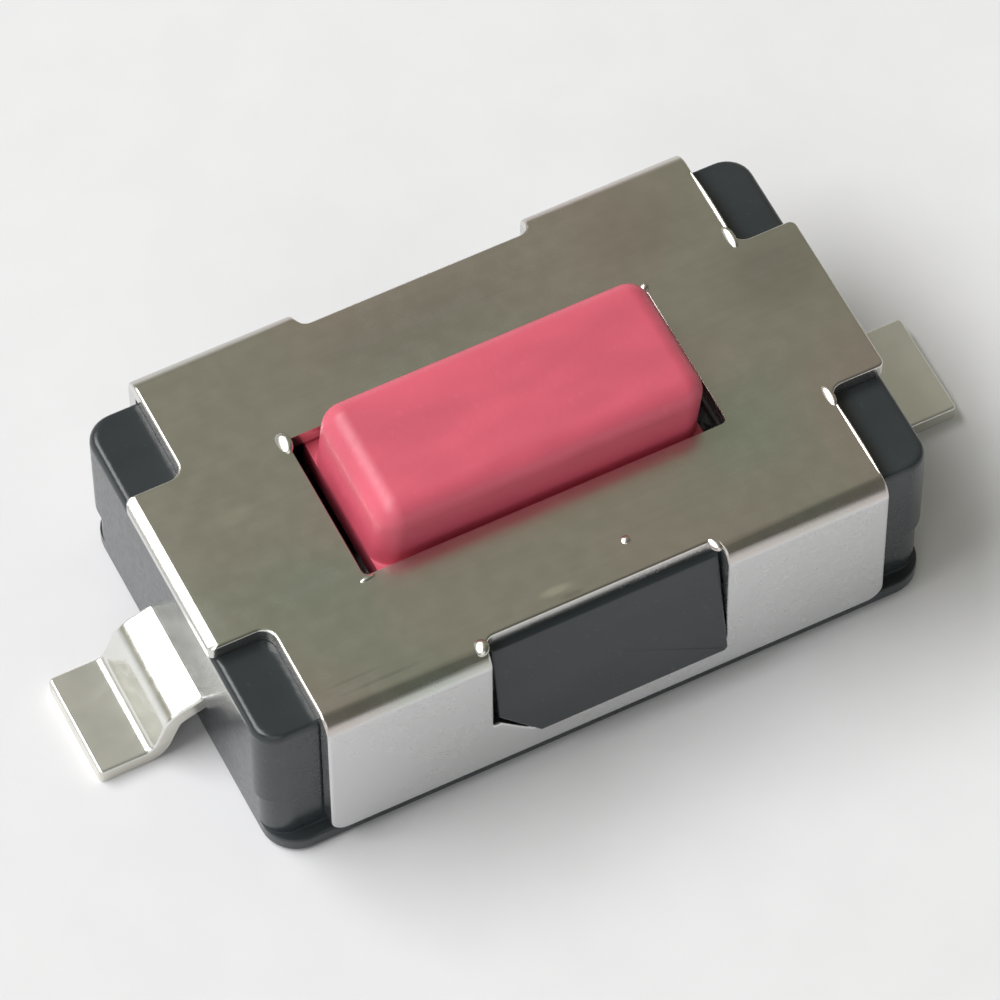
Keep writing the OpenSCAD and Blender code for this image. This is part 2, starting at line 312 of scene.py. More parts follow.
class Shell:
    """Points and faces of closed surfaces that make up one piece."""

    def __init__(self):
        self.points = []
        self.faces = []
        self.cut = []
        self.count = 0

    def add(self, points, faces, cut=None):
        """Adds points, faces that number them from 0, and how far each is a cut edge."""
        points = np.asarray(points, float).reshape(-1, 3)
        self.points.append(points)
        self.faces += [(np.asarray(f) + self.count).tolist() for f in faces]
        self.cut.append(np.zeros(len(points)) if cut is None else np.ravel(cut))
        self.count += len(points)

    def closed_rings(self, rings, open_start=False, open_end=False):
        """Rings of shape (rows, columns, 3), joined, with a hub closing each end."""
        rows, columns = rings.shape[:2]
        points = [rings.reshape(-1, 3)]
        faces = [grid_faces(rows, columns)]
        total = rows * columns
        ends = [(open_start, np.arange(columns), rings[0]),
                (open_end, np.arange(columns) + total - columns, rings[-1])]
        for left_open, index, ring in ends:
            if not left_open:
                faces.append(fan(index, total))
                points.append((ring.max(0, keepdims=True) + ring.min(0, keepdims=True)) / 2)
                total += 1
        self.add(np.concatenate(points), faces)

    def mesh(self, name):
        """The mesh with merged doubles, outward faces and area weighted normals.

        A point's normal is the sum of its faces' normals times their areas.
        """
        mesh = bpy.data.meshes.new(name)
        faces = [face for group in self.faces for face in group]
        mesh.from_pydata(np.concatenate(self.points).tolist(), [], faces)
        cut = mesh.attributes.new("cut_edge", "FLOAT", "POINT")
        cut.data.foreach_set("value", np.concatenate(self.cut).astype(np.float32))
        solid = bmesh.new()
        solid.from_mesh(mesh)
        bmesh.ops.remove_doubles(solid, verts=solid.verts, dist=1e-4 * MM)
        bmesh.ops.recalc_face_normals(solid, faces=solid.faces)
        solid.to_mesh(mesh)
        solid.free()
        mesh.polygons.foreach_set("use_smooth", np.ones(len(mesh.polygons), bool))
        mesh.normals_split_custom_set_from_vertices(weighted_normals(mesh).tolist())
        return mesh


def weighted_normals(mesh):
    """Unit sums of face normals times face areas, one for each point."""
    faces = len(mesh.polygons)
    normal = np.zeros(faces * 3, np.float32)
    area = np.zeros(faces, np.float32)
    corners = np.zeros(faces, np.int32)
    points = np.zeros(len(mesh.loops), np.int32)
    mesh.polygons.foreach_get("normal", normal)
    mesh.polygons.foreach_get("area", area)
    mesh.polygons.foreach_get("loop_total", corners)
    mesh.loops.foreach_get("vertex_index", points)
    weighted = np.repeat(normal.reshape(-1, 3) * area[:, None] / MM ** 2, corners, 0)
    total = np.zeros((len(mesh.vertices), 3))
    np.add.at(total, points, weighted)
    return total / np.maximum(np.linalg.norm(total, axis=1), 1e-12)[:, None]


def show(shell, name, body, slot, material, *nodes):
    """Makes the piece, rides it on its body and hides the CAD nodes it stands for."""
    mesh = shell.mesh(name)
    mesh.materials.append(material)
    piece = bpy.data.objects.new(name, mesh)
    bpy.context.scene.collection.objects.link(piece)
    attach(piece, body)
    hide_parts(*nodes)
    return piece


# Bent sheet metal


class BendPath:
    """Middle line of a strip bent in a plane: straight lines with an arc in each corner.

    A flat place (p, q) at depth w below the upper face comes to
    M(p) + (t / 2 - w) N(p), with q along the axis that isn't bent.
    """

    def __init__(self, corners, bend_r, thickness, steps=8):
        chain = np.asarray(corners, float)
        inner = outline(chain, bend_r, steps)[0].reshape(len(chain), steps + 1, 2)[1:-1]
        self.points = np.concatenate([chain[:1], inner.reshape(-1, 2), chain[-1:]])
        gaps = np.diff(self.points, axis=0)
        size = np.linalg.norm(gaps, axis=1)
        self.places = np.concatenate([[0], np.cumsum(size)])
        across = np.stack([-gaps[:, 1], gaps[:, 0]], 1) / size[:, None]
        both = np.concatenate([across[:1], across[:-1] + across[1:], across[-1:]])
        self.normals = both / np.linalg.norm(both, axis=1)[:, None]
        self.rows = self.places[1:-1]
        self.thickness = thickness

    def place(self, p, w):
        """Plane coordinates of the places p at depths w."""
        middle = [np.interp(p, self.places, self.points[:, k]) for k in (0, 1)]
        normal = [np.interp(p, self.places, self.normals[:, k]) for k in (0, 1)]
        size = np.hypot(*normal)
        return [m + (self.thickness / 2 - w) * n / size for m, n in zip(middle, normal)]


def row_keys(points, rows):
    """Places along a closed outline, as index plus fraction, with its row crossings."""
    p = points[:, 0]
    span = np.roll(p, -1) - p
    t = (rows[None] - p[:, None]) / np.where(abs(span) < 1e-12, 1, span)[:, None]
    inside = (t > 1e-6) & (t < 1 - 1e-6) & (abs(span) > 1e-12)[:, None]
    found = (np.arange(len(p))[:, None] + t)[inside]
    return np.sort(np.concatenate([np.arange(len(p)), found]))


def sampled(values, keys):
    """Values along a closed outline at index plus fraction places."""
    low = keys.astype(int)
    part = (keys - low).reshape(-1, *[1] * (values.ndim - 1))
    return values[low] * (1 - part) + values[(low + 1) % len(values)] * part


def filled(loops, rows):
    """Triangles between closed outlines, with an edge along every row inside them.

    A triangle stays if a line from its middle crosses the outlines an odd number of times.
    """
    points = np.concatenate(loops)
    starts = np.cumsum([0] + [len(loop) for loop in loops])
    edges = np.concatenate([
        np.stack([np.arange(len(loop)), np.roll(np.arange(len(loop)), -1)], 1) + start
        for loop, start in zip(loops, starts)])
    along = []
    for row in rows:
        on_row = np.nonzero(abs(points[:, 0] - row) < 1e-7 * MM)[0]
        on_row = on_row[np.argsort(points[on_row, 1])]
        along.append(on_row[:len(on_row) // 2 * 2].reshape(-1, 2))
    constraints = np.concatenate([edges, *along]).tolist()
    made = geometry.delaunay_2d_cdt((points / MM).tolist(), constraints, [], 0, 1e-9)
    faces = np.array(made[2])
    middle = points[faces].mean(1)[:, None]
    a, b = points[edges[:, 0]][None], points[edges[:, 1]][None]
    straddles = (a[..., 1] > middle[..., 1]) != (b[..., 1] > middle[..., 1])
    rise = np.where(straddles, b[..., 1] - a[..., 1], 1)
    reach = a[..., 0] + (middle[..., 1] - a[..., 1]) / rise * (b[..., 0] - a[..., 0])
    return faces[(straddles & (middle[..., 0] < reach)).sum(1) % 2 == 1]


def punched_loop(corners, radii, inset, drop, plane=0.0, steps=6):
    """A punched outline: outer points, inner points, left normals, drops and planeness.

    The inner corner lies at c + a n1 + b n2, with n1 and n2 the left normals of the edges
    before and after c, a = (e1 - g e2) / (1 - g g), b = (e2 - g e1) / (1 - g g) and
    g = n1 . n2, so that it is e1 and e2 away from those edges. inset, drop and plane are
    one value or one for each edge, and change evenly round each corner.
    """
    c = np.asarray(corners, float)
    after = [np.broadcast_to(np.asarray(v, float), len(c)) for v in (inset, drop, plane)]
    before = [np.roll(v, 1) for v in after]
    u = c - np.roll(c, 1, 0)
    u /= np.linalg.norm(u, axis=1)[:, None]
    n1 = np.stack([-u[:, 1], u[:, 0]], 1)
    n2 = np.roll(n1, -1, 0)
    g = (n1 * n2).sum(1)
    e1, e2 = before[0], after[0]
    a, b = (e1 - g * e2) / (1 - g * g), (e2 - g * e1) / (1 - g * g)
    side = np.sign(n1[:, 0] * n2[:, 1] - n1[:, 1] * n2[:, 0])
    r = np.broadcast_to(np.asarray(radii, float), len(c))
    inner_r = np.maximum(r - side * (e1 + e2) / 2, 0.004 * MM)
    outer, normals = outline(c, r, steps)
    inner = outline(c + a[:, None] * n1 + b[:, None] * n2, inner_r, steps)[0]
    share = np.linspace(0, 1, steps + 1)[None]
    drop, plane = ((p[:, None] * (1 - share) + q[:, None] * share).ravel()
                   for p, q in zip(before[1:], after[1:]))
    return outer, inner, normals, drop, plane


def punched_sheet(shell, loops, path, axis, burr_r, steps=5):
    """A sheet punched to flat outlines, bent along a path, with rolled upper edges.

    Each loop comes from punched_loop. From its inner to its outer points the edge has the
    share (1 - f) (1 - sin t) + f (1 - s) of the inset and (1 - f) (1 - cos t) + f s of the
    drop, with s = 2 t / pi and f the planeness. Then it runs straight down, and turns in
    with the burr's radius. axis is the column that q takes.
    """
    t = np.linspace(0, math.pi / 2, steps + 1)[:, None]
    tops, lows, bands = [], [], []
    start = 0
    for outer, inner, normals, drop, plane in loops:
        keys = row_keys(inner, path.rows)
        outer, inner, normals, drop, plane = (
            sampled(v, keys) for v in (outer, inner, normals, drop, plane))
        inset = (1 - plane) * (1 - np.sin(t)) + plane * (1 - 2 * t / math.pi)
        fall = (1 - plane) * (1 - np.cos(t)) + plane * 2 * t / math.pi
        turned_in = burr_r * (1 - np.cos(t))
        flat = np.concatenate([outer + (inner - outer) * inset[..., None],
                               outer + normals * turned_in[..., None]])
        depth = np.concatenate([
            np.minimum(drop, path.thickness - 2 * burr_r) * fall,
            path.thickness - burr_r * (1 - np.sin(t)) + 0 * drop])
        count = len(outer)
        tops.append((flat[0], np.arange(count) + start))
        lows.append((flat[-1], np.arange(count) + start + count * (len(flat) - 1)))
        bands.append((flat, depth, grid_faces(len(flat), count, start)))
        start += flat.shape[0] * count
    flat = np.concatenate([band[0].reshape(-1, 2) for band in bands])
    depth = np.concatenate([band[1].ravel() for band in bands])
    faces = [band[2] for band in bands]
    top_faces = filled([top[0] for top in tops], path.rows)
    for side in (tops, lows):
        faces.append(np.concatenate([index for _, index in side])[top_faces])
    plane = path.place(flat[:, 0], depth)
    others = [k for k in range(3) if k != axis]
    place = np.empty((len(flat), 3))
    place[:, axis] = flat[:, 1]
    place[:, others[0]], place[:, others[1]] = plane
    rims = np.concatenate([
        np.repeat(np.r_[np.zeros(steps - 1), np.ones(steps + 3)], band[0].shape[1])
        for band in bands])
    shell.add(place, faces, rims)


def bead(shell, centre, size, turn, lean=0.9, steps=10):
    """A leaning bead, x = a sin u cos v + lean z, y = b sin u sin v, z = c cos u, turned."""
    u = np.linspace(0, math.pi, steps + 1)[1:-1, None]
    v = np.linspace(0, 2 * math.pi, 2 * steps, endpoint=False)
    x, y = size[0] * np.sin(u) * np.cos(v), size[1] * np.sin(u) * np.sin(v)
    z = size[2] * np.cos(u) + 0 * v
    x = x + lean * z
    c, s = math.cos(turn), math.sin(turn)
    shell.closed_rings(np.stack([c * x - s * y, s * x + c * y, z], -1) + np.asarray(centre))


# Shader maths


class Wire:
    """A socket in shader maths, where +, * and a number minus it add Math nodes."""

    def __init__(self, net, socket):
        self.net = net
        self.socket = socket

    def math(self, operation, *values):
        return self.net.add("ShaderNodeMath", {"operation": operation}, values)

    def __add__(self, other):
        return self.math("ADD", self, other)

    def __rsub__(self, other):
        return self.math("SUBTRACT", other, self)

    def __mul__(self, other):
        return self.math("MULTIPLY", self, other)

    __radd__ = __add__
    __rmul__ = __mul__


class Net:
    """The nodes of one material or of the world."""

    def __init__(self, owner):
        owner.use_nodes = True
        self.tree = owner.node_tree
        self.tree.nodes.clear()

    def add(self, kind, settings=None, values=(), output=0):
        """A node with its settings made first, then its sockets' values or links."""
        node = self.tree.nodes.new(kind)
        for name, value in (settings or {}).items():
            setattr(node, name, value)
        pairs = values.items() if isinstance(values, dict) else enumerate(values)
        for key, value in pairs:
            if isinstance(value, Wire):
                self.tree.links.new(value.socket, node.inputs[key])
            else:
                node.inputs[key].default_value = value
        return Wire(self, node.outputs[output]) if len(node.outputs) else None

    def place_mm(self):
        """The place on the object, in millimetres."""
        return self.scaled(self.add("ShaderNodeTexCoord", output="Object"), 1 / MM)

    def cut_edge(self):
        """1 on the rolled and cut edges of a punched piece, 0 on its faces."""
        return self.add("ShaderNodeAttribute", {"attribute_name": "cut_edge"}, output="Fac")

    def parts(self, place):
        """The place's three coordinates."""
        node = self.tree.nodes.new("ShaderNodeSeparateXYZ")
        self.tree.links.new(place.socket, node.inputs[0])
        return [Wire(self, socket) for socket in node.outputs]

    def scaled(self, vector, factor):
        """A place or a colour times one factor."""
        return self.add("ShaderNodeVectorMath", {"operation": "SCALE"},
                        {0: vector, "Scale": factor})

    def stretched(self, place, x, y, z):
        """The place times a factor along each axis."""
        return self.add("ShaderNodeVectorMath", {"operation": "MULTIPLY"},
                        {0: place, 1: (x, y, z)})

    def noise(self, place, scale, detail=3.0, roughness=0.5):
        """Smooth noise from 0 to 1 with a grain of about 1 / scale millimetres."""
        return self.add("ShaderNodeTexNoise", {"noise_dimensions": "3D"}, {
            "Vector": place, "Scale": scale, "Detail": detail, "Roughness": roughness})

    def ramp(self, value, low, high, bottom=0.0, top=1.0):
        """Runs smoothly from bottom to top as the value goes from low to high."""
        return self.add("ShaderNodeMapRange", {"interpolation_type": "SMOOTHSTEP"}, {
            "Value": value, "From Min": low, "From Max": high,
            "To Min": bottom, "To Max": top})

    def spot(self, place, x, y, long, wide):
        """1 in the middle of a soft oval on the top face, running to 0 at its rim."""
        off = self.add("ShaderNodeVectorMath", {"operation": "SUBTRACT"},
                       {0: place, 1: (x, y, 0)})
        off = self.stretched(off, 1 / long, 1 / wide, 0)
        far = self.add("ShaderNodeVectorMath", {"operation": "LENGTH"}, {0: off}, "Value")
        return self.ramp(far, 1.0, 0.2)

    def mix(self, factor, first, second):
        """The colour first where the factor is 0, second where it is 1."""
        first, second = ((*c, 1) if isinstance(c, tuple) else c for c in (first, second))
        return self.add("ShaderNodeMix", {"data_type": "RGBA"},
                        {0: factor, 6: first, 7: second}, output=2)

    def bump(self, height, distance):
        """A normal from a height, where 1 stands distance millimetres proud."""
        return self.add("ShaderNodeBump", {}, {
            "Height": height, "Distance": distance * MM, "Strength": 1.0})

    def surface(self, **sockets):
        """The principled shader on the output, with its sockets named in plain words."""
        values = {name.replace("_", " "): value for name, value in sockets.items()}
        shader = self.add("ShaderNodeBsdfPrincipled", {}, values)
        self.add("ShaderNodeOutputMaterial", {}, {"Surface": shader})


def material(name):
    """A new material and its net of nodes."""
    made = bpy.data.materials.new(name)
    return made, Net(made)


def cover_metal(s):
    """Plated sheet: soft clouds, a faint rolling grain along X, scuffs, soft patches of
    painted light and painted shade, and painted highlights on the edges.

    Below z = 1.7 mm, on the side walls, the plating is painted lighter than on the top face.
    """
    made, net = material("cover_metal")
    place = net.place_mm()
    clouds = net.ramp(net.noise(place, 0.45, detail=1.5, roughness=0.45), 0.38, 0.62)
    wide_place = net.stretched(place, 0.8, 1.3, 1.0)
    brown = net.ramp(net.noise(wide_place, 0.38, detail=1.5), 0.40, 0.62)
    fine = net.noise(place, 6.0, roughness=0.55)
    grain = net.noise(net.stretched(place, 0.8, 22.0, 22.0), 1.0, detail=2.0)
    tint = net.mix(clouds, tuple(s.metal), tuple(s.tarnish))
    tint = net.mix(brown * 0.8, tint, tuple(s.cloud))
    shade = net.ramp(fine * 0.4 + grain * 0.6, 0.3, 0.7, bottom=0.975, top=1.015)
    # Scuffs, and patches of painted light and painted shade, brighten or darken the tint
    for x, y, long, wide, change in SCUFFS_AND_PAINTED_SHADE:
        shade = shade + net.spot(place, x, y, long, wide) * change
    tint = net.scaled(tint, shade)
    # Painted highlight: the rolled and cut edges are mixed towards a lighter colour
    tint = net.mix(net.ramp(net.cut_edge(), 0.2, 0.9) * 0.7, tint, tuple(s.bright))
    # Painted light: below z = 1.7 mm the side walls take a lighter colour than the top face,
    # though the plating is the same
    wall = net.ramp(net.parts(place)[2], 1.70, 1.64)
    tint = net.mix(wall, tint, tuple(s.clean))
    rough = s.rough + net.ramp(fine, 0.3, 0.75) * 0.03 + clouds * 0.02
    net.surface(Base_Color=tint, Metallic=1.0, Roughness=rough,
                Normal=net.bump(grain * 0.7 + fine * 0.3, 0.0006))
    return made


def moulded_resin(name, s):
    """Moulded plastic: fine spark eroded texture, soft flow marks and sparse flecks."""
    made, net = material(name)
    place = net.place_mm()
    texture = net.noise(place, 22.0, detail=2.0)
    flow = net.noise(net.stretched(place, 0.7, 1.6, 1.6), 1.1, detail=2.0)
    specks = net.ramp(net.noise(place, 14.0, detail=1.0), 0.68, 0.76)
    shade = net.ramp(flow, 0.3, 0.7, bottom=0.90, top=1.08) + specks * s.fleck
    rough = s.rough + net.ramp(texture, 0.35, 0.7) * 0.06 + flow * 0.04
    net.surface(Base_Color=net.scaled(tuple(s.resin), shade), Roughness=rough, IOR=s.ior,
                Normal=net.bump(texture * 0.5 + flow * 0.5, 0.0025))
    return made


def plated_strip(name, plating, core, roughness):
    """Plated strip: shiny plating, core metal at the cuts, feet dull below z = 0.22 mm."""
    made, net = material(name)
    place = net.place_mm()
    lines = net.noise(net.stretched(place, 1.5, 30.0, 6.0), 1.0, roughness=0.6)
    fine = net.noise(place, 9.0, roughness=0.55)
    tint = net.mix(net.ramp(net.cut_edge(), 0.3, 1.0) * 0.6, tuple(plating), tuple(core))
    blotches = net.noise(place, 2.2, detail=2.0)
    shade = net.ramp(blotches, 0.3, 0.7, bottom=0.93, top=1.04)
    tint = net.scaled(tint, shade)
    dull = net.ramp(net.parts(place)[2], 0.22, 0.16) * 0.2
    rough = roughness + net.ramp(fine, 0.3, 0.7) * 0.05
    net.surface(Base_Color=tint, Metallic=1.0 - dull, Roughness=rough,
                Normal=net.bump(lines * 0.4 + fine * 0.6, 0.0015))
    return made


# Burrs left by the punch: place with height over the top face, half sizes in mm, turn
BEADS = [(-1.645, 0.69, -0.006, 0.055, 0.11, 0.050, 0.1),
         (1.60, 0.73, -0.006, 0.040, 0.04, 0.032, 0.4),
         (-1.60, -0.745, -0.006, 0.07, 0.03, 0.020, 0.1),
         (2.445, -0.86, -0.006, 0.036, 0.11, 0.034, 0.05),
         (2.464, -1.30, -0.006, 0.014, 0.42, 0.014, 0.0),
         (2.445, 0.86, -0.006, 0.036, 0.12, 0.036, 0.05),
         (2.462, 1.20, -0.006, 0.018, 0.40, 0.020, 0.0),
         (-1.085, -1.715, -0.012, 0.055, 0.075, 0.042, 0.2),
         (0.985, -1.69, -0.010, 0.026, 0.075, 0.026, 0.43),
         (0.375, -1.339, -0.004, 0.040, 0.042, 0.022, 0.0)]
# Scuffs, and soft patches of painted light and painted shade, on the cover's top face:
# place, half length and half width in mm, change of tint
SCUFFS_AND_PAINTED_SHADE = [(-0.33, -1.51, 0.19, 0.06, 0.40), (-0.22, -1.60, 0.14, 0.04, -0.18),
          (-2.275, 0.26, 0.20, 0.12, 0.14), (-1.9, -1.62, 0.5, 0.025, -0.16),
          (-2.1, -1.52, 0.35, 0.02, -0.12), (1.9, -0.2, 0.4, 0.2, 0.05),
          (2.64, 0.45, 0.7, 0.6, -0.15), (-0.14, 1.27, 1.4, 0.45, -0.09),
          (1.8, 1.24, 0.7, 0.45, -0.08)]


# Pieces


def cover_shell(s):
    """The cover: one punched outline with a window and two slots, folded along X."""
    shell = Shell()
    half_y, top, low = COVER_HIGH.y, COVER_HIGH.z, COVER_LOW.z
    middle = s.sheet / 2
    chain = [(-half_y + middle, low), (-half_y + middle, top - middle),
             (half_y - middle, top - middle), (half_y - middle, low)]
    path = BendPath(chain, s.fold_r + middle, s.sheet)
    whole = path.places[-1]
    centre = whole / 2
    plate, tongue, reach = s.plate_half, s.tongue_half, COVER_HIGH.x
    corners = [(0, plate), (0, -plate), (centre - tongue, -plate), (centre - tongue, -reach),
               (centre + tongue, -reach), (centre + tongue, -plate), (whole, -plate),
               (whole, plate), (centre + tongue, plate), (centre + tongue, reach),
               (centre - tongue, reach), (centre - tongue, plate)]
    half_radii = [s.notch_r, s.tongue_r, s.tongue_r, s.notch_r, s.wall_r, s.wall_r]
    radii = [s.wall_r, s.wall_r] + half_radii + half_radii[:4]
    at_end = np.array([c[1] == -reach and abs(c[0] - centre + tongue) < tongue
                       for c in corners])
    inset = np.where(at_end, s.chamfer, s.roll)
    drop = np.where(at_end, s.chamfer_drop, s.roll_drop)
    loops = [punched_loop(corners, radii, inset, drop, np.where(at_end, s.planeness, 0))]
    x, y = s.window_x, s.window_y
    window = [(centre - y, x), (centre + y, x), (centre + y, -x), (centre - y, -x)]
    loops.append(punched_loop(window, s.window_r, s.window_roll, s.window_roll))
    corners, radii = slot_corners(s, s.slot_low - low, centre - half_y + s.slot_inset)
    loops.append(punched_loop(corners, radii, s.roll, s.roll_drop))
    across = [(whole - p, q) for p, q in corners]
    loops.append(punched_loop(across[::-1], radii[::-1], s.roll, s.roll_drop))
    punched_sheet(shell, loops, path, 0, s.burr_r)
    return shell


def slot_corners(s, low, high):
    """Corners and radii of the first wall's slot: a key bevel towards -X, with a relief."""
    x, key, cut = s.slot_x, s.key_bevel, s.relief
    corners = [(low, x), (high, x), (high, -x), (low + key - cut, -x),
               (low + key - cut, cut - x), (low, key - x)]
    radii = [s.slot_low_r, s.slot_r, s.slot_r, s.burr_r, s.burr_r, s.slot_low_r]
    return corners, radii


def housing_shell(s):
    """The housing: one chain of rounded rings from the dome well's floor to the recess."""
    shell = Shell()
    end, top, low = HOUSING_HIGH.x, HOUSING_HIGH.z, HOUSING_LOW.z
    base = end - s.step
    stations = [
        (s.dome_x, s.dome_y, s.well_r, s.floor_z),
        (s.dome_x, s.dome_y, s.well_r, s.shelf_z),
        (s.well_x, s.well_y, s.well_r, s.shelf_z),
        (s.well_x, s.well_y, s.well_r, top),
        (end, s.side, s.corner_r, top),
        (end, s.side, s.corner_r, s.step_z),
        (base, s.side, s.corner_r, s.step_z),
        (base, s.side, s.corner_r, s.flange_z),
        (base, s.flange_y, s.flange_r, s.flange_z),
        (base, s.flange_y, s.flange_r, low),
        (base - s.rim, s.flange_y - s.rim, s.flange_r, low),
        (base - s.rim, s.flange_y - s.rim, s.flange_r, low + s.recess),
    ]
    small = 0.015 * MM
    radii = [small, small, 2 * small, s.edge, small, small, small, 2 * small, 2 * small,
             small]
    rings = ring_points(softened(stations, radii))
    rings_and_holes(shell, rings, s)
    for side in (1, -1):
        boss(shell, s, side)
    return shell


def rings_and_holes(shell, rings, s):
    """The housing's rings, closed by the well's floor and by the underside's pin holes."""
    rows, columns = rings.shape[:2]
    shell.closed_rings(rings, open_end=True)
    underside = rings[-1]
    flat = [underside[:, :2]]
    tubes = []
    turn = np.linspace(0, 2 * math.pi, 32, endpoint=False)
    for x, end in PIN_HOLES:
        circle = np.stack([x * MM + s.pin_r * np.cos(turn), -s.pin_r * np.sin(turn)], 1)
        flat.append(circle)
        tubes.append(np.stack([np.column_stack([circle, np.full(len(turn), height)])
                               for height in (underside[0, 2], end * MM)]))
    triangles = filled(flat, np.empty(0))
    level = np.concatenate(flat)
    level = np.column_stack([level, np.full(len(level), underside[0, 2])])
    shell.add(level, [triangles])
    for tube in tubes:
        shell.closed_rings(tube, open_start=True)


def boss(shell, s, side):
    """A snap boss: a bevelled outline in X and Z, carried outwards with a soft edge.

    Its face stands at y = y0 + (y1 - y0) (z - z0) / (z1 - z0) from the middle, and its back
    lies buried in the housing's side.
    """
    below_top, buried, corner, far = 0.01 * MM, 0.08 * MM, 0.012 * MM, 1e3
    z0, z1 = s.boss_low, HOUSING_HIGH.z - below_top
    x, end, bevel, key = s.boss_x, s.boss_end, s.boss_bevel, s.key_bevel
    corners = [(-x + key, z0), (end - bevel, z0), (end, z0 + bevel), (end, z1), (-x, z1),
               (-x, z0 + key)]
    edge = s.boss_edge
    outer, inner = punched_loop(corners, corner, 2 * edge, 0)[:2]
    t = np.linspace(0, math.pi / 2, 6)[:, None]
    inset = np.concatenate([np.zeros((1, 1)), (1 - np.cos(t)) / 2, np.ones((1, 1))])
    back = np.concatenate([np.full((1, 1), far), edge * (1 - np.sin(t)), np.zeros((1, 1))])
    flat = outer + (inner - outer) * inset[..., None]
    face = s.boss_low_y + (s.boss_high_y - s.boss_low_y) * (flat[..., 1] - z0) / (z1 - z0)
    y = np.maximum(face - back, s.side - buried)
    shell.closed_rings(np.stack([flat[..., 0], side * y, flat[..., 1]], -1))


def button_shell(s):
    """The button: rounded rings from the crowned top down to the flange and the nub.

    The head leans in its play: x grows by lean (z - z0) / (z1 - z0), with z0 the flange's
    top and z1 the edge of the head's top, and not more than lean.
    """
    shell = Shell()
    top, low = BUTTON_HIGH.z, BUTTON_LOW.z
    wing_y = BUTTON_HIGH.y
    flat_x, flat_y = s.head_x - s.head_r, s.head_y - s.head_r
    share = np.linspace(0.08, 1, 12)[:, None]
    crowned = top - s.crown * share ** 2
    cap = np.concatenate([flat_x * share, flat_y * share, 1e-3 * s.head_r + 0 * share,
                          crowned], 1)
    t = np.linspace(0, math.pi / 2, 13)[1:, None]
    edge_top = top - s.crown
    out = s.head_r * np.sin(t)
    edge = np.concatenate([flat_x + out, flat_y + out, out,
                           edge_top - s.head_r * (1 - np.cos(t))], 1)
    soft = s.soft
    below = softened([
        (s.head_x, s.head_y, s.head_r, edge_top - s.head_r),
        (s.head_x, s.head_y, s.head_r, s.flange_high),
        (s.head_x, wing_y, s.head_r, s.flange_high),
        (s.head_x, wing_y, s.head_r, s.flange_low),
        (s.nub_r, s.nub_r, s.nub_r, s.flange_low),
        (s.nub_r, s.nub_r, s.nub_r, low),
        (0.5 * s.nub_r, 0.5 * s.nub_r, 0.5 * s.nub_r, low),
    ], [soft, soft, soft, soft, 2 * soft])[1:]
    rings = ring_points(np.concatenate([cap, edge, below]))
    rise = np.clip((rings[..., 2] - s.flange_high) / (edge_top - s.flange_high), 0, 1)
    rings[..., 0] += s.lean * rise
    shell.closed_rings(rings)
    return shell


def dome_shell(s):
    """The snap dome: z = z0 + sqrt((R + h)^2 - x^2 - y^2) over a trimmed round outline.

    In the direction t the outline is (a^-p + (|sin t| / b)^p)^(-1 / p) from the middle.
    """
    shell = Shell()
    turn = np.linspace(0, 2 * math.pi, 96, endpoint=False)
    p = 24
    reach = (DOME_HIGH.x ** -p + (abs(np.sin(turn)) / DOME_HIGH.y) ** p) ** (-1 / p)
    share = np.linspace(0.05, 1, 16)
    share = np.concatenate([share, share[::-1]])[:, None]
    height = np.repeat([s.dome_t, 0], len(share) // 2)[:, None]
    x, y = share * reach * np.cos(turn), share * reach * np.sin(turn)
    centre = DOME_HIGH.z - s.dome_r - s.dome_t
    z = centre + np.sqrt((s.dome_r + height) ** 2 - x ** 2 - y ** 2)
    shell.closed_rings(np.stack([x, y, np.maximum(z, DOME_LOW.z)], -1))
    return shell


def lead_chain(s, inner):
    """Middle line of a lead in X and Z, from its inner points to the end of its foot."""
    foot_z = s.thickness / 2
    return inner + [(s.slope_x, s.lead_z), (s.shoulder_x, s.shoulder_z), (s.foot_x, foot_z),
                    (LEAD_HIGH.x, foot_z)]


def side_terminal_shell(s):
    """The side terminal: a fork under the dome's rim and a gull wing lead, at -X."""
    shell = Shell()
    fork_x, fork_y, arm = DOME_HIGH.x, s.fork_half, s.fork_arm
    path = BendPath(lead_chain(s, [(-fork_x, s.lead_z)]), s.bend_r, s.thickness)
    end, half = path.places[-1], s.lead_half
    root, inside = 2 * fork_x, fork_y - arm
    corners = [(0, -fork_y), (root, -fork_y), (root, -half), (end, -half), (end, half),
               (root, half), (root, fork_y), (0, fork_y), (0, inside), (root - arm, inside),
               (root - arm, -inside), (0, -inside)]
    loop = punched_loop(corners, s.corner_r, s.roll, s.roll_share * s.roll)
    punched_sheet(shell, [loop], path, 1, s.burr_r)
    shell.points[0][:, 0] *= -1
    return shell


def centre_terminal_shell(s):
    """The centre terminal: a gull wing lead, a buried strip and a raised contact, at +X."""
    shell = Shell()
    strip, half = s.strip_half, s.lead_half
    low_x = s.drop_x - (s.lead_z - s.strip_z)
    chain = lead_chain(s, [(-strip, s.strip_z), (low_x, s.strip_z), (s.drop_x, s.lead_z)])
    path = BendPath(chain, s.bend_r, s.thickness)
    end, neck = path.places[-1], strip + low_x
    corners = [(0, -strip), (neck, -strip), (neck, -half), (end, -half), (end, half),
               (neck, half), (neck, strip), (0, strip)]
    nose_r = 0.9 * strip
    radii = [nose_r] + [s.corner_r] * 6 + [nose_r]
    loop = punched_loop(corners, radii, s.roll, s.roll_share * s.roll)
    punched_sheet(shell, [loop], path, 1, s.burr_r)
    edge = 0.03 * MM
    rise = softened([(strip, strip, strip, s.strip_z), (strip, strip, strip, s.contact_top),
                     (edge, edge, edge, s.contact_top)], [edge])
    shell.closed_rings(ring_points(rise))
    return shell


# Operators


